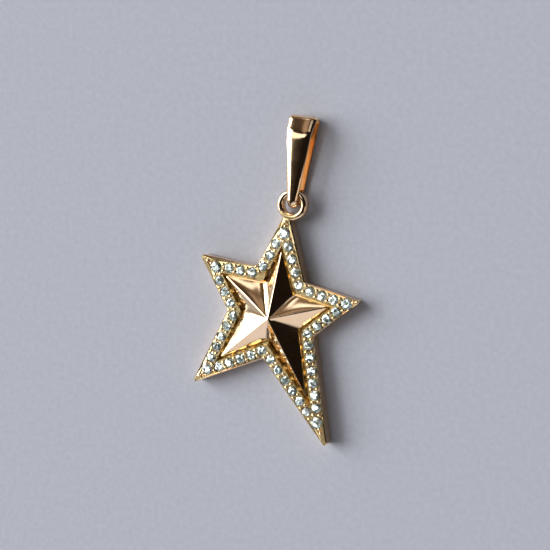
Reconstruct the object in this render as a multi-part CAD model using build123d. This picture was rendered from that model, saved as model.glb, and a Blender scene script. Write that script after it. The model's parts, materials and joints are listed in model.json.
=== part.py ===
from build123d import *
import os
from math import cos, radians, sin, tan

# Star pendant, lying face up. Millimetres, +Z up, +Y towards the bail.
# The origin is on the flat back, under the point where the ten facets meet.

# Star outline: tips and notches alternate, clockwise from the top
arm_length = 13.2
notch_distance = 5.8
tip_rounding = 0.3
notch_rounding = 0.45
# arm, tip direction in degrees, share of arm_length, share of tip_stone_inset
TIPS = [
    ("top", 81.0, 1.00, 1.15),
    ("right", 10.8, 0.84, 0.83),
    ("bottom", -67.2, 1.31, 0.99),
    ("lower_left", -142.0, 1.02, 1.06),
    ("left", 140.8, 0.905, 1.25),
]
# notch direction in degrees, share of notch_distance, direction to its stone, share of notch_stone_inset
NOTCHES = [
    (46.5, 1.01, 213.0, 0.90),
    (-23.5, 0.95, 148.0, 0.90),
    (-105.0, 0.89, 95.0, 1.08),
    (172.5, 1.00, -45.0, 1.20),
    (107.5, 1.10, 4.0, 0.98),
]
# each side's shares of row_inset, at its tip and at its notch, clockwise from the top tip
SIDES = [
    (1.38, 0.98),
    (1.06, 1.08),
    (0.93, 0.95),
    (0.95, 0.92),
    (0.90, 0.98),
    (0.96, 1.12),
    (1.04, 1.04),
    (0.96, 0.98),
    (1.34, 1.07),
    (1.04, 1.04),
]

# Border that carries the stones, and the trench inside it. Flutes in the inner wall leave a rib between stones.
border_height = 2.0
row_inset = 0.75
row_inner_margin = 0.76
inner_wall_run = 0.22
border_edge_break = 0.12
trench_width = 0.1
trench_floor = 1.2
flute_radius = 0.6
flute_wall = 0.05

# Faceted star in the middle
apex_height = 3.7
ridge_end_height = 1.95
valley_end_height = 1.6

# Cut stones: round brilliants, facet angles from the girdle's plane
small_stone_diameter = 1.2
tip_stone_diameter = 1.4
table_share = 0.57
girdle_share = 0.04
crown_angle = 34.5
star_facet_angle = 21.5
upper_girdle_angle = 39.5
pavilion_angle = 40.8
lower_girdle_angle = 42.0
stone_turn = 17.0

# Setting: one row of stones, two shared grains in each gap, and two more grains towards each tip
tip_stone_inset = 0.95
notch_stone_inset = 0.82
least_stone_gap = 0.14
facing_row_gap = 0.16
seat_clearance = 0.03
girdle_depth = 0.05
light_hole_diameter = 0.5
grain_radius = 0.24
grain_sink = 0.08
grain_offset = 0.38
grain_standoff = 0.14
grain_spacing = 0.5
grain_root = 0.12

# Ring cast on the top tip
ring_hole_diameter = 2.15
ring_wall = 0.78
ring_thickness = 1.45
ring_corner = 0.3
ring_lift = 0.6
ring_tip_overlap = 0.12
ring_shift = 0.45

# Bail: a tapered strap bent into a loop, which lies on its back leg
bail_length = 11.0
bail_drop = 0.42
bail_shift = 0.12
bail_lean = 8.0
bail_top_width = 3.45
bail_bottom_width = 0.95
bail_thickness = 0.44
bail_clearance = 0.12
bail_depth = 2.95
bail_deepest = 8.7
bail_top_depth = 2.0
bail_bend_rounding = 2.4
bail_end_rounding = 0.75
bail_ring_end_share = 0.45
bail_bevel_width = 0.4
bail_bevel_drop = 0.22


def polar(radius, degrees):
    return Vector(radius * cos(radians(degrees)), radius * sin(radians(degrees)))


def star_corners():
    """Sharp corners of the outline, clockwise, starting with the top tip."""
    corners = []
    for (_, direction, share, _), (notch_direction, notch_share, _, _) in zip(TIPS, NOTCHES):
        corners.append(polar(arm_length * share, direction))
        corners.append(polar(notch_distance * notch_share, notch_direction))
    return corners


def side_directions(corners, i):
    """Unit vectors along side i of the clockwise outline, and square to it into the star."""
    along = (corners[(i + 1) % len(corners)] - corners[i]).normalized()
    return along, Vector(along.Y, -along.X)


def inset_corner(corners, i, distance_before, distance_after):
    """Corner i after the side before it and the side after it have moved inwards."""
    _, normal_before = side_directions(corners, i - 1)
    _, normal_after = side_directions(corners, i)
    overlap = normal_before.dot(normal_after)
    spread = 1 - overlap ** 2
    step_before = (distance_before - overlap * distance_after) / spread
    step_after = (distance_after - overlap * distance_before) / spread
    return corners[i] + normal_before * step_before + normal_after * step_after


def row_line(corners, side):
    """The line of one side's small stones: its start by the tip, its direction, and square to it into the star."""
    _, inwards = side_directions(corners, side)
    at_tip, at_notch = SIDES[side]
    tip, notch = corners[side], corners[(side + 1) % len(corners)]
    if side % 2 == 1:
        tip, notch = notch, tip
    start = tip + inwards * row_inset * at_tip
    along = (notch + inwards * row_inset * at_notch - start).normalized()
    across = Vector(along.Y, -along.X)
    return start, along, across if side % 2 == 0 else -across


def row_crossing(corners, side, other, shift):
    """Where the lines of two rows cross after both have moved into the star by shift."""
    start, along, across = row_line(corners, side)
    other_start, other_along, other_across = row_line(corners, other)
    start += across * shift
    between = other_start + other_across * shift - start
    spread = along.X * other_along.Y - along.Y * other_along.X
    return start + along * ((between.X * other_along.Y - between.Y * other_along.X) / spread)


def inner_outline(corners, beyond):
    """The outline moved in past the rows of stones and their margin, and by as much again as given."""
    shift = row_inner_margin + beyond
    return [row_crossing(corners, i - 1, i, shift) for i in range(len(corners))]


def flat_star(corners):
    """The polygon as a sketch; a clockwise one would face down."""
    return Polygon(*[(c.X, c.Y) for c in reversed(corners)], align=None)


def rounded_star(corners):
    """The outline as a sketch, with its tips and notches rounded."""
    sketch = flat_star(corners)
    for rounding, places in ((tip_rounding, corners[0::2]), (notch_rounding, corners[1::2])):
        chosen = []
        for vertex in sketch.vertices():
            if min((Vector(vertex) - place).length for place in places) < 0.001:
                chosen.append(vertex)
        sketch = fillet(chosen, rounding)
    return sketch


def pocket(corners):
    """Room inside the border, with leaning walls, as high above the border's top as it is deep."""
    depth = border_height - trench_floor
    lower = [Vector(c.X, c.Y, trench_floor) for c in inner_outline(corners, inner_wall_run)]
    upper = [Vector(c.X, c.Y, border_height + depth) for c in inner_outline(corners, -inner_wall_run)]
    faces = [Face(Wire.make_polygon(lower)), Face(Wire.make_polygon(upper))]
    for i in range(len(corners)):
        j = (i + 1) % len(corners)
        faces.append(Face(Wire.make_polygon([lower[i], lower[j], upper[j], upper[i]])))
    return Solid(Shell(faces))


def flute_places(stones):
    """Middle of the flute beside each small stone, where it keeps clear of all the other stones' seats."""
    reach = small_stone_diameter / 2 + seat_clearance + flute_wall + flute_radius
    places = []
    for i, (place, _, name) in enumerate(stones):
        along = (stones[(i + 1) % len(stones)][0] - stones[i - 1][0]).normalized()
        middle = place + Vector(along.Y, -along.X) * reach
        others = stones[:i] + stones[i + 1:]
        if not name and min((middle - other).length for other, _, _ in others) > reach:
            places.append(middle)
    return places


def facet_star(corners):
    """Ten facets that meet at the apex, with upright sides down into the plate."""
    apex = Vector(0, 0, apex_height)
    foot_height = trench_floor / 2
    feet = [Vector(c.X, c.Y, foot_height) for c in corners]
    rims = []
    for i, c in enumerate(corners):
        rims.append(Vector(c.X, c.Y, ridge_end_height if i % 2 == 0 else valley_end_height))
    faces = [Face(Wire.make_polygon(feet))]
    for i in range(len(corners)):
        j = (i + 1) % len(corners)
        faces.append(Face(Wire.make_polygon([rims[i], rims[j], apex])))
        faces.append(Face(Wire.make_polygon([feet[i], feet[j], rims[j], rims[i]])))
    return Solid(Shell(faces))


def half_angle(corners, i):
    """Half the angle of the tip at corner i, in radians."""
    _, normal_before = side_directions(corners, i - 1)
    _, normal_after = side_directions(corners, i)
    return radians(90 - normal_before.get_angle(normal_after) / 2)


def row_ends(corners, side, tip_stone, notch_stone, gap):
    """Where a side's first and last small stones sit, measured along its line from the tip."""
    start, along, across = row_line(corners, side)
    reach = (tip_stone_diameter + small_stone_diameter) / 2 + gap
    to_tip = tip_stone - start
    clear_of_tip_stone = to_tip.dot(along) + max(reach ** 2 - to_tip.dot(across) ** 2, 0) ** 0.5
    facing = (side - 1 if side % 2 == 0 else side + 1) % len(corners)
    _, facing_along, _ = row_line(corners, facing)
    half = radians(along.get_angle(facing_along) / 2)
    crossing = row_crossing(corners, side, facing, 0)
    clear_of_facing_row = (crossing - start).dot(along) + (small_stone_diameter + facing_row_gap) / (2 * sin(half))
    reach = small_stone_diameter + gap
    to_notch = notch_stone - start
    last = to_notch.dot(along) - max(reach ** 2 - to_notch.dot(across) ** 2, 0) ** 0.5
    return max(clear_of_tip_stone, clear_of_facing_row), last


def row_places(corners, side, tip_stone, notch_stone):
    """Centres of one side's small stones, from its tip: as many as fit, with even gaps."""
    first, last = row_ends(corners, side, tip_stone, notch_stone, least_stone_gap)
    pitch = small_stone_diameter + least_stone_gap
    gaps = int((last - first) / pitch)
    if gaps < 1:
        return []
    spare = (last - first - gaps * pitch) / (gaps + 2)
    first, last = row_ends(corners, side, tip_stone, notch_stone, least_stone_gap + spare)
    start, along, _ = row_line(corners, side)
    return [start + along * (first + (last - first) * n / gaps) for n in range(gaps + 1)]


def stone_places(corners):
    """Every stone clockwise round the border: its centre, diameter and, at a tip, the arm's name."""
    tips = []
    notches = []
    for i, (_, _, _, share) in enumerate(TIPS):
        tips.append(inset_corner(corners, 2 * i, tip_stone_inset * share, tip_stone_inset * share))
    for i, (_, _, direction, share) in enumerate(NOTCHES):
        notches.append(corners[2 * i + 1] + polar(notch_stone_inset * share, direction))
    stones = []
    for i, (name, _, _, _) in enumerate(TIPS):
        next_tip = tips[(i + 1) % len(TIPS)]
        down = row_places(corners, 2 * i, tips[i], notches[i])
        up = row_places(corners, 2 * i + 1, next_tip, notches[i])[::-1]
        stones.append((tips[i], tip_stone_diameter, name))
        for place in down + [notches[i]] + up:
            stones.append((place, small_stone_diameter, None))
    return stones


def crown_height(diameter):
    return diameter / 2 * (1 - table_share) * tan(radians(crown_angle))


def brilliant(diameter):
    """Round brilliant with its girdle's top at z = 0: 33 crown and 24 pavilion facets."""
    radius = diameter / 2
    girdle = diameter * girdle_share
    depth = radius * tan(radians(lower_girdle_angle)) + girdle
    height = crown_height(diameter)
    side_distance = radius * cos(radians(11.25))
    blank = extrude(RegularPolygon(radius, 16), height)
    blank += Pos(0, 0, -depth) * extrude(RegularPolygon(radius, 16), depth)
    # count, first direction, distance from the axis, height there, angle, 1 for crown or -1 for pavilion
    facets = [
        (8, 0.0, radius, 0, crown_angle, 1),
        (8, 22.5, radius * table_share * cos(radians(22.5)), height, star_facet_angle, 1),
        (16, 11.25, side_distance, 0, upper_girdle_angle, 1),
        (8, 0.0, radius, -girdle, pavilion_angle, -1),
        (16, 11.25, side_distance, -girdle, lower_girdle_angle, -1),
    ]
    stone = blank.solid()
    for count, first, distance, level, angle, side in facets:
        for n in range(count):
            direction = first + n * 360 / count
            point = polar(distance, direction) + Vector(0, 0, level)
            normal = polar(sin(radians(angle)), direction) + Vector(0, 0, side * cos(radians(angle)))
            stone = stone.split(Plane(origin=point, z_dir=normal), keep=Keep.BOTTOM)
    return stone


def seat_cutter(diameter):
    """Room for a stone and its clearance, from the light hole in the back to above the table."""
    radius = diameter / 2 + seat_clearance
    hole = light_hole_diameter / 2
    girdle_top = border_height - girdle_depth
    girdle_bottom = girdle_top - diameter * girdle_share
    cone_bottom = girdle_bottom - (radius - hole) * tan(radians(lower_girdle_angle))
    above = grain_radius
    mouth = radius - above / tan(radians(upper_girdle_angle))
    outline = [
        (0, -seat_clearance),
        (hole, -seat_clearance),
        (hole, cone_bottom),
        (radius, girdle_bottom),
        (radius, border_height),
        (mouth, border_height + above),
        (0, border_height + above),
    ]
    return revolve(Plane.XZ * Polygon(*outline, align=None), Axis.Z)


def grain_places(corners, stones):
    """Two grains in each gap between neighbours, one each side of the row, and two beyond each tip stone."""
    places = []
    tips = corners[0::2]
    for i, (place, diameter, name) in enumerate(stones):
        neighbour, other, _ = stones[(i + 1) % len(stones)]
        step = neighbour - place
        along = step.normalized()
        middle = place + along * (step.length + (diameter - other) / 2) / 2
        across = Vector(-along.Y, along.X)
        places.append(middle + across * grain_offset)
        places.append(middle - across * grain_offset)
        if name:
            outwards = (tips.pop(0) - place).normalized()
            nearest = diameter / 2 + grain_standoff
            places.append(place + outwards * nearest)
            places.append(place + outwards * (nearest + grain_spacing))
    return places


def grain():
    """One grain on the border's top, as a dome with a short root."""
    ball = Pos(0, 0, border_height - grain_sink) * Sphere(grain_radius)
    below = Pos(0, 0, border_height - grain_root) * Box(
        4 * grain_radius, 4 * grain_radius, 4 * grain_radius, align=(Align.CENTER, Align.CENTER, Align.MAX))
    return ball - below


def ring_centre():
    """Middle of the ring's hole, beyond the rounded top tip."""
    corners = star_corners()
    tip = corners[0]
    tip_end = tip.length - tip_rounding * (1 / sin(half_angle(corners, 0)) - 1)
    outwards = tip.normalized()
    sideways = Vector(outwards.Y, -outwards.X) * ring_shift
    return outwards * (tip_end - ring_tip_overlap + ring_hole_diameter / 2) + sideways


def ring():
    inner = ring_hole_diameter / 2
    section = Pos(inner + ring_wall / 2, ring_lift + ring_thickness / 2) * RectangleRounded(
        ring_wall, ring_thickness, ring_corner)
    return Pos(ring_centre()) * revolve(Plane.XZ * section, Axis.Z)


def star_frame():
    corners = star_corners()
    plate = extrude(rounded_star(corners), border_height)
    plate = chamfer(plate.faces().sort_by(Axis.Z)[-1].edges(), border_edge_break)
    stones = stone_places(corners)
    flute = Pos(0, 0, trench_floor) * extrude(Circle(flute_radius), border_height)
    plate -= [pocket(corners)] + [Pos(place) * flute for place in flute_places(stones)]
    plate += ring()
    plate += facet_star(inner_outline(corners, inner_wall_run + trench_width))
    one_grain = grain()
    plate += [Pos(place) * one_grain for place in grain_places(corners, stones)]
    seat_cutters = {}
    for diameter in (small_stone_diameter, tip_stone_diameter):
        seat_cutters[diameter] = seat_cutter(diameter)
    return plate - [Pos(place) * seat_cutters[diameter] for place, diameter, _ in stones]


def bail():
    """Closed strap: its side outline is hollowed by the strap's thickness, then cut to its taper."""
    ring_top = ring_lift + ring_thickness
    front_at_ring = ring_top + bail_clearance + bail_thickness
    outline = Polygon(
        (0, 0),
        (0, front_at_ring),
        (bail_deepest, bail_depth),
        (bail_length, bail_top_depth),
        (bail_length, 0),
        align=None)
    corner_roundings = [
        ((0, 0), front_at_ring * bail_ring_end_share),
        ((0, front_at_ring), front_at_ring * bail_ring_end_share),
        ((bail_deepest, bail_depth), bail_bend_rounding),
        ((bail_length, bail_top_depth), bail_end_rounding),
        ((bail_length, 0), bail_end_rounding),
    ]
    for (x, y), rounding in corner_roundings:
        corner = outline.vertices().sort_by_distance((x, y))[0]
        outline = fillet(corner, rounding)
    side = Plane.YZ * (outline - offset(outline, -bail_thickness))
    strap = extrude(side, bail_top_width, both=True)
    taper = Polygon(
        (-bail_bottom_width / 2, 0),
        (bail_bottom_width / 2, 0),
        (bail_top_width / 2, bail_length),
        (-bail_top_width / 2, bail_length),
        align=None)
    strap &= extrude(taper, 2 * bail_depth)
    bevel_width = min(bail_bevel_width, bail_bottom_width * 0.45)
    for side_index in (0, -1):
        flank = strap.faces().sort_by(lambda face: face.normal_at().X)[side_index]
        strap = chamfer(flank.outer_wire().edges(), bail_bevel_drop, bevel_width, reference=flank)
    return Pos(ring_centre()) * Rot(0, 0, -bail_lean) * Pos(bail_shift, -bail_drop, 0) * strap


def cut_stones():
    """The five tip stones by name, and the small stones as one list."""
    tip_stones = {}
    small_stones = []
    cuts = {}
    for diameter in (small_stone_diameter, tip_stone_diameter):
        cuts[diameter] = brilliant(diameter)
    for i, (place, diameter, name) in enumerate(stone_places(star_corners())):
        seat = Pos(place.X, place.Y, border_height - girdle_depth)
        stone = seat * Rot(0, 0, i * stone_turn) * cuts[diameter]
        if name:
            tip_stones["tip_stone_" + name] = stone
        else:
            small_stones.append(stone)
    return tip_stones, small_stones


def main():
    tip_stones, small_stones = cut_stones()
    nodes = {"star_frame": star_frame(), "bail": bail(), "pave_stones": Compound(small_stones)}
    nodes.update(tip_stones)
    os.makedirs("parts", exist_ok=True)
    for name, shape in nodes.items():
        export_step(shape, "parts/" + name + ".step")


main()
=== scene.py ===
import json
import math

import bpy
import numpy
from mathutils import Matrix, Vector

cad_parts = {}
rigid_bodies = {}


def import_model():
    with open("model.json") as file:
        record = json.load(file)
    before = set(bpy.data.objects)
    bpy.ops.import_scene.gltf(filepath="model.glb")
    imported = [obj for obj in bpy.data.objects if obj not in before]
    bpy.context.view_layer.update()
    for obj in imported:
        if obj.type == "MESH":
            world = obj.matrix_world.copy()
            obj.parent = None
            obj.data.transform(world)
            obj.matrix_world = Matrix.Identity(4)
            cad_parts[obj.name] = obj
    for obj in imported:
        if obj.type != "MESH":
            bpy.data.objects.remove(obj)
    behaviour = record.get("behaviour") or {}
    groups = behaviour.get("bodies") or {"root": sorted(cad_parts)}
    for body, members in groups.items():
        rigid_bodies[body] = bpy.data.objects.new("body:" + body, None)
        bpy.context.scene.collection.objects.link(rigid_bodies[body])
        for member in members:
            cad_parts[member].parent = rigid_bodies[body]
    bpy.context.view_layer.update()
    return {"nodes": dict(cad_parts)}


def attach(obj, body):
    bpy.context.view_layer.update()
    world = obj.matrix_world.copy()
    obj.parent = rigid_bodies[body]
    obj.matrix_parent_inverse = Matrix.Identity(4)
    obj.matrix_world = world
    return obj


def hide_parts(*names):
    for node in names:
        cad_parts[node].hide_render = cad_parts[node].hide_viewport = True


bl_info = {
    "name": "Star pendant",
    "version": (1, 0, 0),
    "blender": (4, 5, 0),
    "location": "3D View > Sidebar > Star pendant",
    "description": "Dresses the star pendant: polished metal, cut stones, floor, light and camera",
    "category": "Object",
}

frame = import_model()
BODY = "root"
MM = 0.001
SMALL_STONES = "pave_stones"
TIP_STONES = sorted(name for name in frame["nodes"] if name.startswith("tip_stone_"))

# vertices this close are merged, places this close are the same, and a share or an angle this
# small comes from rounding alone
MERGE_DISTANCE = 0.0005 * MM
SAME_PLACE = 0.001 * MM
TINY = 1e-6

POLISHED = "rose_gold_plate_polished"
SATIN = "rose_gold_plate_satin"
STONE = "cubic_zirconia_brilliant_cut"
PAPER = "pale_matt_paper"


# Colours, nodes and selection

def linear(hex_colour):
    """An sRGB hex colour as linear RGBA."""
    channels = [int(hex_colour.lstrip("#")[i:i + 2], 16) / 255 for i in (0, 2, 4)]
    return [c / 12.92 if c <= 0.04045 else ((c + 0.055) / 1.055) ** 2.4 for c in channels] + [1.0]


def add_node(tree, kind, settings=None, inputs=None, links=None):
    """Adds a node, sets its attributes and sockets, and links sockets from other nodes' outputs."""
    node = tree.nodes.new(kind)
    for name, value in (settings or {}).items():
        setattr(node, name, value)
    for name, value in (inputs or {}).items():
        node.inputs[name].default_value = value
    for name, (source, output) in (links or {}).items():
        tree.links.new(source.outputs[output], node.inputs[name])
    return node


def new_material(name):
    """Adds an empty node material, and gives its tree and its output node."""
    material = bpy.data.materials.new(name)
    material.use_nodes = True
    tree = material.node_tree
    tree.nodes.clear()
    return tree, tree.nodes.new("ShaderNodeOutputMaterial")


def set_ramp(node, stops):
    """Gives a colour ramp its stops, as (position, hex colour)."""
    elements = node.color_ramp.elements
    while len(elements) > 1:
        elements.remove(elements[-1])
    for i, (position, colour) in enumerate(stops):
        element = elements[0] if i == 0 else elements.new(position)
        element.position = position
        element.color = linear(colour)


def deselect_all():
    """Nothing stays selected, so the next operator acts only on what is picked for it."""
    for piece in bpy.context.view_layer.objects:
        piece.select_set(False)


def make_active(piece):
    """Selects one piece alone and makes it the active one."""
    deselect_all()
    piece.select_set(True)
    bpy.context.view_layer.objects.active = piece


def copy_of(node_name, piece_name):
    """A merged copy of a CAD node's mesh, as a new object at the origin."""
    mesh = frame["nodes"][node_name].data.copy()
    mesh.name = piece_name
    mesh.materials.clear()
    piece = bpy.data.objects.new(piece_name, mesh)
    bpy.context.scene.collection.objects.link(piece)
    make_active(piece)
    bpy.ops.object.mode_set(mode="EDIT")
    bpy.ops.mesh.select_all(action="SELECT")
    bpy.ops.mesh.customdata_custom_splitnormals_clear()
    bpy.ops.mesh.remove_doubles(threshold=MERGE_DISTANCE)
    bpy.ops.mesh.select_all(action="DESELECT")
    bpy.ops.object.mode_set(mode="OBJECT")
    return piece


def give_material(piece, name):
    """Makes the named material the piece's only one."""
    piece.data.materials.clear()
    piece.data.materials.append(bpy.data.materials[name])


# Materials

# the plate's tint drifts over this length, and rubbing leaves marks of this size, in which the
# roughness lies between these shares of the plate's own
TINT_DRIFT = 4 * MM
RUB_SIZE = 1.2 * MM
RUB_ROUGHNESS = (0.7, 1.4)

# size and height of the waves that the polishing wheel leaves, and of the satin's grain; a real
# grain is some hundredths of a millimetre, and is drawn this coarse, a little over a pixel of the
# photo, so that it shows
POLISHING_WAVES = (0.9 * MM, 0.003 * MM)
SATIN_GRAIN = (0.16 * MM, 0.022 * MM)

# cubic zirconia's refractive index; its cool cast changes over this length, about two stones
STONE_IOR = 2.15
STONE_HAZE = 2.5 * MM

# real fibres are some hundredths of a millimetre wide, and their mottle is drawn this coarse so
# that it shows
FIBRE_SIZE = 0.6 * MM


def gold_plate(name, colours, roughness, relief):
    """Gold plate over brass: a warm tint that drifts over a few millimetres, gloss that varies
    where it was rubbed, and relief of the given size and height."""
    tree, output = new_material(name)
    place = add_node(tree, "ShaderNodeTexCoord")
    cloud = add_node(tree, "ShaderNodeTexNoise", inputs={"Scale": 1 / TINT_DRIFT, "Detail": 2.0},
                     links={"Vector": (place, "Object")})
    tint = add_node(tree, "ShaderNodeValToRGB", links={"Fac": (cloud, "Fac")})
    set_ramp(tint, [(0.35, colours[0]), (0.7, colours[1])])
    rub = add_node(tree, "ShaderNodeTexNoise", inputs={"Scale": 1 / RUB_SIZE, "Detail": 3.0},
                   links={"Vector": (place, "Object")})
    gloss = add_node(tree, "ShaderNodeMapRange",
                     inputs={"To Min": roughness * RUB_ROUGHNESS[0],
                             "To Max": roughness * RUB_ROUGHNESS[1]},
                     links={"Value": (rub, "Fac")})
    size, height = relief
    ripple = add_node(tree, "ShaderNodeTexNoise", inputs={"Scale": 1 / size, "Detail": 1.0},
                      links={"Vector": (place, "Object")})
    bump = add_node(tree, "ShaderNodeBump", inputs={"Strength": 1.0, "Distance": height},
                    links={"Height": (ripple, "Fac")})
    shader = add_node(tree, "ShaderNodeBsdfPrincipled", inputs={"Metallic": 1.0},
                      links={"Base Color": (tint, "Color"), "Roughness": (gloss, "Result"),
                             "Normal": (bump, "Normal")})
    tree.links.new(shader.outputs["BSDF"], output.inputs["Surface"])


def cut_stone(settings):
    """Cubic zirconia, brilliant cut and polished: colourless with a cool cast, bright by its
    high index, and broken up by the facets below its girdle."""
    tree, output = new_material(STONE)
    place = add_node(tree, "ShaderNodeTexCoord")
    haze = add_node(tree, "ShaderNodeTexNoise", inputs={"Scale": 1 / STONE_HAZE, "Detail": 1.0},
                    links={"Vector": (place, "Object")})
    tint = add_node(tree, "ShaderNodeValToRGB", links={"Fac": (haze, "Fac")})
    set_ramp(tint, [(0.3, settings.stone_colour), (0.7, settings.stone_colour_cool)])
    clear = add_node(tree, "ShaderNodeBsdfPrincipled",
                     inputs={"IOR": STONE_IOR, "Roughness": 0.0, "Transmission Weight": 1.0},
                     links={"Base Color": (tint, "Color")})
    # the pavilion's facets throw the room back as a mosaic of small mirrors under the clear top,
    # each about as large as a facet of a small stone
    cells = add_node(tree, "ShaderNodeTexVoronoi", inputs={"Scale": 1 / settings.mirror_size},
                     links={"Vector": (place, "Object")})
    centred = add_node(tree, "ShaderNodeVectorMath", {"operation": "SUBTRACT"},
                       {1: (0.5, 0.5, 0.5)}, {0: (cells, "Color")})
    leaning = add_node(tree, "ShaderNodeVectorMath", {"operation": "SCALE"},
                       {"Scale": settings.mirror_lean}, {0: (centred, "Vector")})
    biased = add_node(tree, "ShaderNodeVectorMath", {"operation": "ADD"},
                      {1: settings.mirror_bias}, {0: (leaning, "Vector")})
    turned = add_node(tree, "ShaderNodeVectorMath", {"operation": "ADD"},
                      links={0: (place, "Normal"), 1: (biased, "Vector")})
    facing = add_node(tree, "ShaderNodeVectorMath", {"operation": "NORMALIZE"},
                      links={0: (turned, "Vector")})
    mirrors = add_node(tree, "ShaderNodeBsdfPrincipled",
                       inputs={"Metallic": 1.0, "Roughness": settings.mirror_roughness},
                       links={"Base Color": (tint, "Color"), "Normal": (facing, "Vector")})
    mix = add_node(tree, "ShaderNodeMixShader", inputs={0: settings.mirror_share},
                   links={1: (clear, "BSDF"), 2: (mirrors, "BSDF")})
    tree.links.new(mix.outputs["Shader"], output.inputs["Surface"])


def floor_finish(settings):
    """Pale matt paper, with the faint mottle of its fibres."""
    tree, output = new_material(PAPER)
    place = add_node(tree, "ShaderNodeTexCoord")
    fibre = add_node(tree, "ShaderNodeTexNoise", inputs={"Scale": 1 / FIBRE_SIZE, "Detail": 3.0},
                     links={"Vector": (place, "Object")})
    tint = add_node(tree, "ShaderNodeValToRGB", links={"Fac": (fibre, "Fac")})
    set_ramp(tint, [(0.2, settings.floor_colour), (0.8, settings.floor_colour_light)])
    shader = add_node(tree, "ShaderNodeBsdfPrincipled",
                      inputs={"Roughness": 0.9, "Specular IOR Level": 0.2},
                      links={"Base Color": (tint, "Color")})
    tree.links.new(shader.outputs["BSDF"], output.inputs["Surface"])


class STAR_OT_finishes(bpy.types.Operator):
    """Finishes: the plate, the stones and the floor"""
    bl_idname = "star.finishes"
    bl_label = "Finishes"

    def execute(self, context):
        settings = context.scene.star_settings
        # wheel-polished: a clean mirror, soft at the edges of what it reflects
        gold_plate(POLISHED, (settings.plate_colour, settings.plate_colour_warm),
                   settings.plate_roughness, POLISHING_WAVES)
        # as cast and tumbled, where the wheel doesn't reach: satin, with a fine grain that breaks
        # up what it mirrors
        gold_plate(SATIN, (settings.satin_colour, settings.satin_colour_warm),
                   settings.satin_roughness, SATIN_GRAIN)
        cut_stone(context.scene.star_stone_settings)
        floor_finish(context.scene.star_stage_settings)
        return {"FINISHED"}


# Settings

class StarSettings(bpy.types.PropertyGroup):
    plate_colour: bpy.props.StringProperty(
        name="Plate colour", description="The metal's own tint, sRGB hex", default="#FADDBA")
    plate_colour_warm: bpy.props.StringProperty(
        name="Warm plate colour", description="The tint where the plate is rosier, sRGB hex",
        default="#F8D4A6")
    satin_colour: bpy.props.StringProperty(
        name="Satin colour",
        description="Tint of the satin metal, yellower than the mirror's, sRGB hex",
        default="#FBE4AC")
    satin_colour_warm: bpy.props.StringProperty(
        name="Warm satin colour", description="The satin's tint where it is rosier, sRGB hex",
        default="#F5D796")
    plate_roughness: bpy.props.FloatProperty(
        name="Plate roughness", description="Roughness of the polished metal",
        default=0.12, min=0, max=1)
    satin_roughness: bpy.props.FloatProperty(
        name="Satin roughness",
        description="Roughness of the metal in the recess and round the stones",
        default=0.28, min=0, max=1)
    facet_cuts: bpy.props.IntProperty(
        name="Facet cuts", description="How finely each facet is divided",
        default=23, min=4, max=60)
    ridge_crowding: bpy.props.FloatProperty(
        name="Ridge crowding", description="How closely a facet's divisions crowd to its ridge",
        default=1.7, min=1)
    ridge_rounding: bpy.props.FloatProperty(
        name="Ridge rounding", description="Half the width of the rounding on each ridge",
        default=0.09 * MM, subtype="DISTANCE", unit="LENGTH")
    valley_rounding: bpy.props.FloatProperty(
        name="Valley rounding", description="Half the width of the rounding in each valley",
        default=0.8 * MM, subtype="DISTANCE", unit="LENGTH")
    border_fall: bpy.props.FloatProperty(
        name="Border fall", description="How far the border's top falls towards the outline",
        default=0.14 * MM, subtype="DISTANCE", unit="LENGTH")
    foot_rounding: bpy.props.FloatProperty(
        name="Foot rounding", description="Rounding between the star's wall and its back",
        default=0.16 * MM, subtype="DISTANCE", unit="LENGTH")
    strap_columns: bpy.props.IntProperty(
        name="Strap columns", description="Columns in each half of the bail's strap",
        default=6, min=2, max=20)
    strap_bevel: bpy.props.FloatProperty(
        name="Strap bevel",
        description="Width of the bevel that the bail's crown takes the place of",
        default=0.4 * MM, subtype="DISTANCE", unit="LENGTH")
    strap_drop: bpy.props.FloatProperty(
        name="Strap drop", description="How far the bail's crown drops at its edges",
        default=0.22 * MM, subtype="DISTANCE", unit="LENGTH")
    strap_power: bpy.props.FloatProperty(
        name="Strap power", description="How flat the middle of the bail's crown is",
        default=3, min=1)
    strap_lift: bpy.props.FloatProperty(
        name="Strap lift", description="How far the bail's middle stands proud",
        default=0.04 * MM, subtype="DISTANCE", unit="LENGTH")
    strap_smile: bpy.props.FloatProperty(
        name="Strap smile", description="How far the bend runs further up at the edges",
        default=0.25 * MM, subtype="DISTANCE", unit="LENGTH")
    eased_edge: bpy.props.FloatProperty(
        name="Eased edge", description="Width of the rounding on the bail's edges",
        default=0.05 * MM, subtype="DISTANCE", unit="LENGTH")
    eased_angle: bpy.props.FloatProperty(
        name="Eased angle", description="Edges of the bail sharper than this are rounded",
        default=math.radians(40), subtype="ANGLE")
    smooth_angle: bpy.props.FloatProperty(
        name="Smooth angle", description="Edges sharper than this stay crisp",
        default=math.radians(28), subtype="ANGLE")


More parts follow.
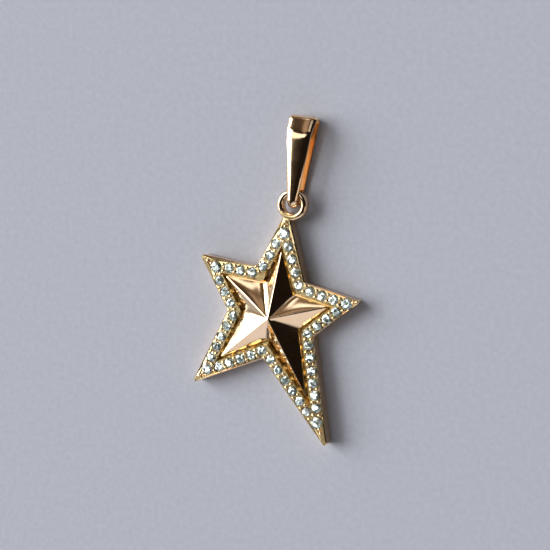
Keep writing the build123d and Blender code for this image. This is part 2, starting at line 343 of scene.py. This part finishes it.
class StoneSettings(bpy.types.PropertyGroup):
    stone_colour: bpy.props.StringProperty(
        name="Stone colour", description="Tint of the stones, sRGB hex", default="#F0FAF6")
    stone_colour_cool: bpy.props.StringProperty(
        name="Cool stone colour", description="Tint of the cooler stones, sRGB hex",
        default="#DCEFEA")
    stone_lean: bpy.props.FloatProperty(
        name="Stone lean", description="How far the small stones lean outwards",
        default=math.radians(10), subtype="ANGLE")
    girdle_depth: bpy.props.FloatProperty(
        name="Girdle depth", description="From a small stone's table down to its widest part",
        default=0.16 * MM, subtype="DISTANCE", unit="LENGTH")
    mirror_size: bpy.props.FloatProperty(
        name="Mirror size",
        description="Size of the small mirrors that a stone's lower facets make",
        default=0.3 * MM, subtype="DISTANCE", unit="LENGTH")
    mirror_lean: bpy.props.FloatProperty(
        name="Mirror lean", description="How far the small mirrors lean about",
        default=0.95, min=0, max=3)
    mirror_bias: bpy.props.FloatVectorProperty(
        name="Mirror bias",
        description="Where the small mirrors lean on the whole, towards the window",
        default=(-0.09, 0.06, 0.0))
    mirror_roughness: bpy.props.FloatProperty(
        name="Mirror roughness", description="How far the small mirrors spread what they reflect",
        default=0.32, min=0, max=1)
    mirror_share: bpy.props.FloatProperty(
        name="Mirror share", description="Share of the light that comes back from the lower facets",
        default=0.7, min=0, max=1)


class StageSettings(bpy.types.PropertyGroup):
    floor_colour: bpy.props.StringProperty(
        name="Floor colour", description="Floor's darker fibre, sRGB hex", default="#BABDC9")
    floor_colour_light: bpy.props.StringProperty(
        name="Light floor colour", description="Floor's lighter fibre, sRGB hex",
        default="#C6CAD5")
    floor_radius: bpy.props.FloatProperty(
        name="Floor radius", description="Radius of the round floor",
        default=2.0, subtype="DISTANCE", unit="LENGTH")
    world_colour: bpy.props.StringProperty(
        name="Room colour", description="The dim room round the lights, sRGB hex",
        default="#3A332E")
    world_strength: bpy.props.FloatProperty(
        name="Room strength", description="How bright the room is", default=0.22, min=0)
    view_tilt: bpy.props.FloatProperty(
        name="View tilt", description="Angle between the view and straight down",
        default=math.radians(20), subtype="ANGLE")
    view_turn: bpy.props.FloatProperty(
        name="View turn", description="Direction that the view leans to, from +X towards +Y",
        default=math.radians(14), subtype="ANGLE")
    view_distance: bpy.props.FloatProperty(
        name="View distance", description="From the camera to the point it looks at",
        default=190 * MM, subtype="DISTANCE", unit="LENGTH")
    view_width: bpy.props.FloatProperty(
        name="View width", description="Width of the view at that point",
        default=66 * MM, subtype="DISTANCE", unit="LENGTH")


# Star casting

# facet, direction of its middle in degrees, how far its middle stands proud in millimetres
FACETS = [
    ("top_right", 64, 0.02),
    ("right_upper", 29, 0.10),
    ("right_lower", -6, 0.02),
    ("long_right", -45, 0.02),
    ("long_left", -86, 0.02),
    ("lower_left_lower", -123, 0.02),
    ("lower_left_upper", -165, 0.03),
    ("left_lower", 157, 0.03),
    ("left_upper", 124, 0.12),
    ("top_left", 94, 0.03),
]

# slopes in degrees and the least area by which the facets are told from the other faces
FACET_SLOPES = (20, 55)
FACET_AREA = 0.8 * MM ** 2

# the roundings narrow to the apex: the most that each may be, as a share of the way from it
RIDGE_TAPER = 0.12
VALLEY_TAPER = 0.30

# corners of one stone's table lie within this of each other, and those of two stones don't
STONE_REACH = 0.9 * MM

# the border falls between these distances outside the line through the stones, by this power of
# the way between them; it fades out down the wall between these heights, and ends at the reach
DOME_SPAN = (0.05 * MM, 0.78 * MM)
DOME_POWER = 1.3
DOME_HEIGHTS = (1.45 * MM, 1.85 * MM)
DOME_REACH = 1.2 * MM

# the ring at the top tip: its middle in plan, the middle of its wall, half the wall's width, how
# far from the wall's middle its vertices lie at most, its top
RING_MIDDLE = Vector((2.576, 13.388)) * MM
RING_RADIUS = 1.465 * MM
RING_HALF_WALL = 0.39 * MM
RING_REACH = 0.4 * MM
RING_TOP = 2.05 * MM

# the foot's edges lie this far outside the line through the stones; shorter ones than the least
# stay, because a bevel would run out into a spike there; faces are upright or level past these
FOOT_DISTANCE = 0.4 * MM
FOOT_LEAST_EDGE = 0.3 * MM
UPRIGHT, LEVEL = 0.1, 0.9
FOOT_SEGMENTS = 4

# where the satin lies: heights in millimetres, and distances outside the line through the stones
SATIN_TOP_HEIGHT = 1.6
SATIN_TOP_SPAN = (-0.8 * MM, 2.6 * MM)
RECESS_HEIGHTS = (0.3, 2.02)
RECESS_SPAN = (-1.12 * MM, -0.3 * MM)
SEAT_HEIGHTS = (0.1, 1.9)
SEAT_REACH = 0.62 * MM


def between(value, limits):
    """Whether a value lies between two limits."""
    return limits[0] < value < limits[1]


def cross(a, b):
    """Cross product of two vectors in plan."""
    return a.x * b.y - a.y * b.x


def facet_polygons(piece):
    """The ten facets of the middle star: the large sloping faces of the casting."""
    facets = []
    for polygon in piece.data.polygons:
        slope = math.degrees(math.acos(max(-1.0, min(1.0, polygon.normal.z))))
        if between(slope, FACET_SLOPES) and polygon.area > FACET_AREA:
            facets.append(polygon)
    if len(facets) != len(FACETS):
        raise RuntimeError("found %d facets on the star casting" % len(facets))
    return facets


def facet_corners(piece, facets):
    """The apex, and the ten rim corners round it by direction."""
    places = {i: piece.data.vertices[i].co.copy() for facet in facets for i in facet.vertices}
    apex = max(places.values(), key=lambda place: place.z)
    rim = [place for place in places.values() if place is not apex]
    rim.sort(key=lambda place: math.atan2(place.y - apex.y, place.x - apex.x))
    return apex, rim


class Sector:
    """One facet in plan, between a ridge and a valley that start at the apex."""

    def __init__(self, apex, first, second):
        ridge, valley = (first, second) if first.z > second.z else (second, first)
        self.ridge = (ridge - apex).to_2d()
        self.valley = (valley - apex).to_2d()
        self.ridge_drop, self.valley_drop = ridge.z - apex.z, valley.z - apex.z
        self.area = cross(self.ridge, self.valley)
        self.gradient = Vector((
            (self.ridge_drop * self.valley.y - self.valley_drop * self.ridge.y) / self.area,
            (self.ridge.x * self.valley_drop - self.valley.x * self.ridge_drop) / self.area))
        middle = (self.ridge + self.valley) / 2
        direction = math.degrees(math.atan2(middle.y, middle.x))
        _, _, swell = min(FACETS, key=lambda facet: abs((facet[1] - direction + 180) % 360 - 180))
        self.swell = swell * MM

    def rise_from(self, line):
        """Slope of the facet square to its ridge or valley line, going into the facet."""
        square = Vector((-line.y, line.x)).normalized()
        other = self.valley if line == self.ridge else self.ridge
        return self.gradient.dot(square if square.dot(other) > 0 else -square)

    def shares(self, point):
        """How far a point is from the apex to the rim, and from the ridge to the valley."""
        towards_ridge = max(0.0, cross(point, self.valley) / self.area)
        towards_valley = max(0.0, cross(self.ridge, point) / self.area)
        out = towards_ridge + towards_valley
        return out, towards_valley / out if out > TINY else 0.0


def rounding_height(placed, line, rise, width, taper):
    """Height that a rounded line adds beside a ridge or valley; its width narrows to the apex."""
    distance, along = abs(cross(placed, line)), placed.dot(line)
    width = min(width, taper * along)
    if distance >= width or width <= 0:
        return 0.0
    return rise * (width - distance) ** 2 / (2 * width)


def finish_facets(piece, settings):
    """Facets as a polisher leaves them: crisp ridges, soft valleys and a slight swell in each."""
    facets = facet_polygons(piece)
    apex, rim = facet_corners(piece, facets)
    for polygon in piece.data.polygons:
        polygon.select = False
    for facet in facets:
        facet.select = True
    bpy.ops.object.mode_set(mode="EDIT")
    bpy.ops.mesh.select_mode(type="FACE")
    bpy.ops.mesh.subdivide(number_cuts=settings.facet_cuts)
    bpy.ops.object.mode_set(mode="OBJECT")

    count = len(rim)
    sectors = [Sector(apex, rim[i], rim[(i + 1) % count]) for i in range(count)]
    directions = [math.atan2(place.y - apex.y, place.x - apex.x) for place in rim]
    rises = []
    for i in range(count):
        line = (rim[i] - apex).to_2d()
        rises.append((sectors[i - 1].rise_from(line) + sectors[i].rise_from(line)) / 2)
    for vertex in piece.data.vertices:
        if not vertex.select:
            continue
        point = (vertex.co - apex).to_2d()
        if point.length < SAME_PLACE:
            continue
        direction = math.atan2(point.y, point.x)
        i = max((k for k in range(count) if directions[k] <= direction + TINY), default=count - 1)
        sector = sectors[i]
        ridge_rise, valley_rise = rises[i], rises[(i + 1) % count]
        if rim[i].z <= rim[(i + 1) % count].z:
            ridge_rise, valley_rise = valley_rise, ridge_rise
        out, turn = sector.shares(point)
        turn = turn ** settings.ridge_crowding
        placed = (sector.ridge * (1 - turn) + sector.valley * turn) * out
        height = out * (sector.ridge_drop * (1 - turn) + sector.valley_drop * turn)
        height += rounding_height(placed, sector.ridge.normalized(), ridge_rise,
                                  settings.ridge_rounding, RIDGE_TAPER)
        height += rounding_height(placed, sector.valley.normalized(), valley_rise,
                                  settings.valley_rounding, VALLEY_TAPER)
        # the three shares add up to 1, so 27 makes their product 1 in the facet's middle
        height += 27 * sector.swell * (1 - out) * out * (1 - turn) * out * turn
        vertex.co = (apex.x + placed.x, apex.y + placed.y, apex.z + height)
    piece.data.update()


def stone_centres():
    """Middles of the stones' tables in plan, anticlockwise by their direction from the origin."""
    centres = []
    for name in [SMALL_STONES] + TIP_STONES:
        vertices = frame["nodes"][name].data.vertices
        top = max(vertex.co.z for vertex in vertices)
        tables = []
        for vertex in vertices:
            if vertex.co.z < top - SAME_PLACE:
                continue
            point = vertex.co.to_2d()
            for table in tables:
                if (table[0] - point).length < STONE_REACH:
                    table.append(point)
                    break
            else:
                tables.append([point])
        for table in tables:
            xs, ys = [point.x for point in table], [point.y for point in table]
            centres.append(Vector(((min(xs) + max(xs)) / 2, (min(ys) + max(ys)) / 2)))
    centres.sort(key=lambda point: math.atan2(point.y, point.x))
    return centres


def outward_distances(places):
    """Distance of each place from the line through the stones, positive towards the outline."""
    centres = stone_centres()
    points = numpy.array([(place[0], place[1]) for place in places])
    nearest = numpy.full(len(points), numpy.inf)
    signed = numpy.zeros(len(points))
    for i, start in enumerate(centres):
        end = centres[(i + 1) % len(centres)]
        step = numpy.array(end - start)
        offset = points - numpy.array(start)
        share = numpy.clip(offset @ step / (step @ step), 0, 1)
        gap = offset - share[:, None] * step
        distance = numpy.hypot(gap[:, 0], gap[:, 1])
        side = numpy.sign(offset[:, 0] * step[1] - offset[:, 1] * step[0])
        closer = distance < nearest
        nearest[closer] = distance[closer]
        signed[closer] = (distance * side)[closer]
    return signed


def dome_border(piece, settings):
    """The border falls away a little towards the outline, as filed and polished metal does."""
    inner, outer = DOME_SPAN
    low, high = DOME_HEIGHTS
    chosen = [vertex for vertex in piece.data.vertices if vertex.co.z > low and not vertex.select]
    distances = outward_distances([vertex.co for vertex in chosen])
    for vertex, distance in zip(chosen, distances):
        if distance > DOME_REACH:
            continue
        share = min(1.0, max(0.0, (distance - inner) / (outer - inner)))
        weight = min(1.0, (vertex.co.z - low) / (high - low))
        vertex.co.z -= settings.border_fall * share ** DOME_POWER * weight
    piece.data.update()


def round_ring(piece):
    """The ring's top is a full round, as the polisher leaves a jump ring."""
    shoulder = RING_TOP - RING_HALF_WALL
    for vertex in piece.data.vertices:
        across = abs((vertex.co.to_2d() - RING_MIDDLE).length - RING_RADIUS)
        if across > RING_REACH or vertex.co.z < shoulder:
            continue
        across = min(across, RING_HALF_WALL)
        vertex.co.z = min(vertex.co.z, shoulder + math.sqrt(RING_HALF_WALL ** 2 - across ** 2))
    piece.data.update()


def foot_edges(mesh):
    """Keys of the edges between the star's wall and its back."""
    low = [vertex.index for vertex in mesh.vertices if vertex.co.z < SAME_PLACE]
    distances = outward_distances([mesh.vertices[i].co for i in low])
    outline = {i for i, distance in zip(low, distances) if distance > FOOT_DISTANCE}
    faces = {}
    for polygon in mesh.polygons:
        for key in polygon.edge_keys:
            faces.setdefault(key, []).append(abs(polygon.normal.z))
    edges = set()
    for key, levels in faces.items():
        first, second = key
        length = (mesh.vertices[first].co - mesh.vertices[second].co).length
        if first in outline and second in outline and length >= FOOT_LEAST_EDGE:
            if min(levels) < UPRIGHT and max(levels) > LEVEL:
                edges.add(key)
    return edges


def ease_foot(piece, settings):
    """Rounds the edge between the star's wall and its back."""
    mesh = piece.data
    chosen = foot_edges(mesh)
    if not chosen:
        raise RuntimeError("no foot edge found on the star casting")
    for vertex in mesh.vertices:
        vertex.select = False
    for polygon in mesh.polygons:
        polygon.select = False
    for edge in mesh.edges:
        edge.select = edge.key in chosen
    bpy.ops.object.mode_set(mode="EDIT")
    bpy.ops.mesh.select_mode(type="EDGE")
    bpy.ops.mesh.bevel(offset=settings.foot_rounding, segments=FOOT_SEGMENTS, profile=0.5,
                       affect="EDGES")
    bpy.ops.mesh.select_all(action="DESELECT")
    bpy.ops.object.mode_set(mode="OBJECT")


def satin_faces(piece):
    """Faces that the polishing wheel doesn't reach: the recess, the seats and the border's top."""
    polygons = piece.data.polygons
    for polygon, distance in zip(polygons, outward_distances([p.center for p in polygons])):
        height = polygon.center.z / MM
        level = polygon.normal.z > LEVEL and height > SATIN_TOP_HEIGHT
        on_top = level and between(distance, SATIN_TOP_SPAN)
        in_recess = between(height, RECESS_HEIGHTS) and between(distance, RECESS_SPAN)
        in_seat = between(height, SEAT_HEIGHTS) and abs(distance) <= SEAT_REACH
        if on_top or in_recess or in_seat:
            polygon.material_index = 1


class STAR_OT_casting(bpy.types.Operator):
    """Star casting: plate, domed border, grains, ring and the faceted star in the middle"""
    bl_idname = "star.casting"
    bl_label = "Star casting"

    def execute(self, context):
        settings = context.scene.star_settings
        piece = copy_of("star_frame", "star_casting")
        finish_facets(piece, settings)
        dome_border(piece, settings)
        round_ring(piece)
        ease_foot(piece, settings)
        make_active(piece)
        bpy.ops.object.shade_smooth_by_angle(angle=settings.smooth_angle)
        give_material(piece, POLISHED)
        piece.data.materials.append(bpy.data.materials[SATIN])
        satin_faces(piece)
        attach(piece, BODY)
        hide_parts("star_frame")
        return {"FINISHED"}


# Bail

# the strap in plan: where the middle of its lower end is, its lean from +Y, its half-width there,
# and how much the half-width grows per length along it
STRAP_START = Vector((2.636, 12.955)) * MM
STRAP_LEAN = math.radians(8)
STRAP_HALF = 0.475 * MM
STRAP_SPREAD = 2.5 / 22
STRAP_ALONG = Vector((math.sin(STRAP_LEAN), math.cos(STRAP_LEAN)))
STRAP_ACROSS = Vector((math.cos(STRAP_LEAN), -math.sin(STRAP_LEAN)))

# rows across the strap, in millimetres up from its lower end: close together where it bends
STRAP_ROWS = ([0.6 + 0.6 * i for i in range(12)] + [7.9 + 0.14 * i for i in range(15)]
              + [10.1, 10.4])

# its front faces look up and lie above this; the lift fades out over this length before the end;
# the bend's middle, and how far the smile reaches along the strap from there
STRAP_FRONT_NORMAL = 0.3
STRAP_FRONT_HEIGHT = 1.2 * MM
STRAP_END = 10.9 * MM
STRAP_FADE = 1.2 * MM
STRAP_BEND = 8.75 * MM
STRAP_BEND_REACH = 0.9 * MM
EDGE_SEGMENTS = 3


def strap_place(point):
    """How far up the strap a point in plan is, and how far across as a share of the half-width."""
    offset = point.to_2d() - STRAP_START
    along = offset.dot(STRAP_ALONG)
    return along, offset.dot(STRAP_ACROSS) / (STRAP_HALF + STRAP_SPREAD * along)


def cut_across(place, normal):
    """Cuts the whole mesh in edit mode along an upright plane, given in plan."""
    bpy.ops.mesh.select_all(action="SELECT")
    bpy.ops.mesh.bisect(plane_co=(place.x, place.y, 0), plane_no=(normal.x, normal.y, 0))


def cut_strap(settings):
    """Rows and columns across the strap, so that it can be rounded."""
    bpy.ops.object.mode_set(mode="EDIT")
    for i in range(1, 2 * settings.strap_columns):
        share = i / settings.strap_columns - 1
        middle = STRAP_START + STRAP_ACROSS * STRAP_HALF * share
        line = STRAP_ALONG + STRAP_ACROSS * STRAP_SPREAD * share
        cut_across(middle, Vector((line.y, -line.x)))
    for along in STRAP_ROWS:
        cut_across(STRAP_START + STRAP_ALONG * along * MM, STRAP_ALONG)
    bpy.ops.mesh.select_all(action="DESELECT")
    bpy.ops.object.mode_set(mode="OBJECT")


def round_strap(piece, settings):
    """Turns the strap's flat front with its two bevels into one soft crown, and bows its bend
    into a smile."""
    mesh = piece.data
    front = set()
    for polygon in mesh.polygons:
        if polygon.normal.z > STRAP_FRONT_NORMAL and polygon.center.z > STRAP_FRONT_HEIGHT:
            front.update(polygon.vertices)
    for i in front:
        vertex = mesh.vertices[i]
        along, share = strap_place(vertex.co)
        share = min(1.0, abs(share))
        half = STRAP_HALF + STRAP_SPREAD * along
        bevelled = max(0.0, share * half - (half - settings.strap_bevel)) / settings.strap_bevel
        crown = settings.strap_drop * (bevelled - share ** settings.strap_power)
        fading = min(1.0, max(0.0, (STRAP_END - along) / STRAP_FADE))
        vertex.co.z += crown + settings.strap_lift * (1 - share ** 2) * fading
        bend = math.exp(-((along - STRAP_BEND) / STRAP_BEND_REACH) ** 2)
        step = STRAP_ALONG * settings.strap_smile * share ** 2 * bend
        vertex.co.x += step.x
        vertex.co.y += step.y
    mesh.update()


class STAR_OT_bail(bpy.types.Operator):
    """Bail: the tapered strap, crowned and with its edges eased by polishing"""
    bl_idname = "star.bail"
    bl_label = "Bail"

    def execute(self, context):
        settings = context.scene.star_settings
        piece = copy_of("bail", "bail_strap")
        cut_strap(settings)
        round_strap(piece, settings)
        bevel = piece.modifiers.new("eased_edges", "BEVEL")
        bevel.width = settings.eased_edge
        bevel.segments = EDGE_SEGMENTS
        bevel.limit_method = "ANGLE"
        bevel.angle_limit = settings.eased_angle
        make_active(piece)
        bpy.ops.object.modifier_apply(modifier=bevel.name)
        bpy.ops.object.shade_smooth_by_angle(angle=settings.smooth_angle)
        give_material(piece, POLISHED)
        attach(piece, BODY)
        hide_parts("bail")
        return {"FINISHED"}


# Stones

def lean_stones(piece, settings):
    """Tips each small stone outwards a little, as if the border were more domed than it is."""
    centres = stone_centres()
    count = len(centres)
    turns = []
    for i in range(count):
        step = centres[(i + 1) % count] - centres[i - 1]
        outwards = Vector((step.y, -step.x, 0)).normalized()
        axis = Vector((0, 0, 1)).cross(outwards)
        turns.append(Matrix.Rotation(settings.stone_lean, 3, axis))
    places = numpy.array([tuple(centre) for centre in centres])
    top = max(vertex.co.z for vertex in piece.data.vertices)
    for vertex in piece.data.vertices:
        gaps = numpy.hypot(places[:, 0] - vertex.co.x, places[:, 1] - vertex.co.y)
        nearest = int(gaps.argmin())
        centre = centres[nearest]
        pivot = Vector((centre.x, centre.y, top - settings.girdle_depth))
        vertex.co = pivot + turns[nearest] @ (vertex.co - pivot)
    piece.data.update()


class STAR_OT_stones(bpy.types.Operator):
    """Stones: the row of small stones, leaning outwards, and the five at the tips"""
    bl_idname = "star.stones"
    bl_label = "Stones"

    def execute(self, context):
        piece = copy_of(SMALL_STONES, "small_stones")
        lean_stones(piece, context.scene.star_stone_settings)
        give_material(piece, STONE)
        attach(piece, BODY)
        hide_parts(SMALL_STONES)
        for name in TIP_STONES:
            node = frame["nodes"][name]
            if not node.material_slots:
                raise RuntimeError("node " + name + " has no material slot")
            for slot in node.material_slots:
                slot.material = bpy.data.materials[STONE]
        return {"FINISHED"}


# Stage

# the window's light: azimuth, elevation, distance, width, height, power, colour
WINDOW_LIGHT = (163, 32, 3.0, 3.0, 2.1, 96, "#FFFFFF")

# what the metal mirrors: direction as azimuth and elevation, how far from it the patch is full and
# where it ends, all in degrees, then colour and strength; a later patch lies over those before it
ROOM_PATCHES = [
    # walls by the window, behind and in front
    (175, 5, 30, 62, "#FFF8F0", 0.34),
    (95, 14, 0, 36, "#E8C096", 0.24),
    (-83, 10, 20, 46, "#F4F4FF", 0.90),
    # the window
    (178, 25, 14, 18, "#FFFFFF", 1.30),
    (160, 32, 21, 25, "#FFFFFF", 1.30),
    # small cards behind
    (96, 46, 4, 8, "#F6DCC6", 0.42),
    (97, 29, 3.5, 5.5, "#FFFFFF", 1.6),
    (72, 45, 4, 7, "#FFFFFF", 0.70),
    # white cards overhead, a cream one on the right and a dark one in front
    (148, 60, 13, 18, "#FFFFFF", 1.60),
    (110, 72, 8, 13, "#FFFFFF", 1.60),
    (-24, 22, 10, 16, "#FFF0E0", 0.90),
    (-152, 70, 7, 15, "#2A1E14", 0.80),
]

FLOOR_SIDES = 96

# the point that the camera looks at, its sensor's width in millimetres, and the nearest and
# farthest that it sees, in metres
CAMERA_AIM = Vector((-0.29, 4.91, 0)) * MM
SENSOR_WIDTH = 36
CLIP_START, CLIP_END = 0.01, 10


def direction_of(azimuth, elevation):
    """Unit vector from the pendant, angles in degrees."""
    a, e = math.radians(azimuth), math.radians(elevation)
    return Vector((math.cos(a) * math.cos(e), math.sin(a) * math.cos(e), math.sin(e)))


def add_window_light(azimuth, elevation, distance, width, height, power, colour):
    """A soft area light that faces the pendant. Angles in degrees, sizes in metres."""
    direction = direction_of(azimuth, elevation)
    data = bpy.data.lights.new("window_left", "AREA")
    data.shape = "RECTANGLE"
    data.size = width
    data.size_y = height
    data.energy = power
    data.color = linear(colour)[:3]
    light = bpy.data.objects.new("window_left", data)
    light.location = direction * distance
    light.rotation_mode = "QUATERNION"
    light.rotation_quaternion = direction.to_track_quat("Z", "Y")
    bpy.context.scene.collection.objects.link(light)


def studio_room(settings):
    """The room: dim on the right, bright where the window and the white cards stand."""
    world = bpy.data.worlds.new("studio_room")
    world.use_nodes = True
    tree = world.node_tree
    background = tree.nodes["Background"]
    place = add_node(tree, "ShaderNodeTexCoord")
    base = [c * settings.world_strength for c in linear(settings.world_colour)[:3]] + [1.0]
    under = None
    for azimuth, elevation, full, ends, colour, strength in ROOM_PATCHES:
        facing = add_node(tree, "ShaderNodeVectorMath", {"operation": "DOT_PRODUCT"},
                          {1: direction_of(azimuth, elevation)}, {0: (place, "Generated")})
        share = add_node(tree, "ShaderNodeMapRange", {"interpolation_type": "SMOOTHSTEP"},
                         {"From Min": math.cos(math.radians(ends)),
                          "From Max": math.cos(math.radians(full))},
                         {"Value": (facing, "Value")})
        glow = [c * strength for c in linear(colour)[:3]] + [1.0]
        mix = add_node(tree, "ShaderNodeMix", {"data_type": "RGBA"}, {"A": base, "B": glow},
                       {"Factor": (share, "Result")})
        if under:
            tree.links.new(under.outputs["Result"], mix.inputs["A"])
        under = mix
    tree.links.new(under.outputs["Result"], background.inputs["Color"])
    return world


def add_camera(scene, settings):
    """The camera at the photo's angle, looking down with the pendant's top leaning right."""
    data = bpy.data.cameras.new("camera")
    camera = bpy.data.objects.new("camera", data)
    scene.collection.objects.link(camera)
    tilt, turn = settings.view_tilt, settings.view_turn
    lean = Vector((math.cos(turn), math.sin(turn), 0))
    side = Vector((-math.sin(turn), math.cos(turn), 0))
    back = lean * math.sin(tilt) + Vector((0, 0, math.cos(tilt)))
    across = lean * math.cos(tilt) - Vector((0, 0, math.sin(tilt)))
    right = across * math.cos(turn) - side * math.sin(turn)
    up = across * math.sin(turn) + side * math.cos(turn)
    turned = Matrix((right, up, back)).transposed().to_4x4()
    place = Matrix.Translation(CAMERA_AIM + back * settings.view_distance)
    camera.matrix_world = place @ turned
    data.sensor_width = SENSOR_WIDTH
    data.lens = data.sensor_width * settings.view_distance / settings.view_width
    data.clip_start = CLIP_START
    data.clip_end = CLIP_END
    scene.camera = camera


class STAR_OT_stage(bpy.types.Operator):
    """Stage: pale floor, window light, dim room and the camera"""
    bl_idname = "star.stage"
    bl_label = "Stage"

    def execute(self, context):
        settings = context.scene.star_stage_settings
        deselect_all()
        bpy.ops.mesh.primitive_circle_add(vertices=FLOOR_SIDES, radius=settings.floor_radius,
                                          fill_type="NGON")
        floor = context.object
        floor.name = "floor"
        give_material(floor, PAPER)
        add_window_light(*WINDOW_LIGHT)
        context.scene.world = studio_room(settings)
        context.scene.view_settings.view_transform = "Standard"
        add_camera(context.scene, settings)
        return {"FINISHED"}


class STAR_PT_panel(bpy.types.Panel):
    """Lists the pieces and their settings"""
    bl_label = "Star pendant"
    bl_idname = "STAR_PT_panel"
    bl_space_type = "VIEW_3D"
    bl_region_type = "UI"
    bl_category = "Star pendant"

    def draw(self, context):
        for operator in OPERATORS:
            self.layout.operator(operator.bl_idname)
        for name in SETTINGS:
            group = getattr(context.scene, name)
            for prop in group.bl_rna.properties:
                if prop.identifier not in ("rna_type", "name"):
                    self.layout.prop(group, prop.identifier)


OPERATORS = [STAR_OT_finishes, STAR_OT_casting, STAR_OT_bail, STAR_OT_stones, STAR_OT_stage]
SETTINGS = {
    "star_settings": StarSettings,
    "star_stone_settings": StoneSettings,
    "star_stage_settings": StageSettings,
}


def register():
    for group in SETTINGS.values():
        bpy.utils.register_class(group)
    for name, group in SETTINGS.items():
        setattr(bpy.types.Scene, name, bpy.props.PointerProperty(type=group))
    for operator in OPERATORS:
        bpy.utils.register_class(operator)
    bpy.utils.register_class(STAR_PT_panel)


def unregister():
    bpy.utils.unregister_class(STAR_PT_panel)
    for operator in reversed(OPERATORS):
        bpy.utils.unregister_class(operator)
    for name in SETTINGS:
        delattr(bpy.types.Scene, name)
    for group in SETTINGS.values():
        bpy.utils.unregister_class(group)


def main():
    register()
    deselect_all()
    bpy.ops.star.finishes()
    bpy.ops.star.casting()
    bpy.ops.star.bail()
    bpy.ops.star.stones()
    bpy.ops.star.stage()


if __name__ == "__main__":
    main()
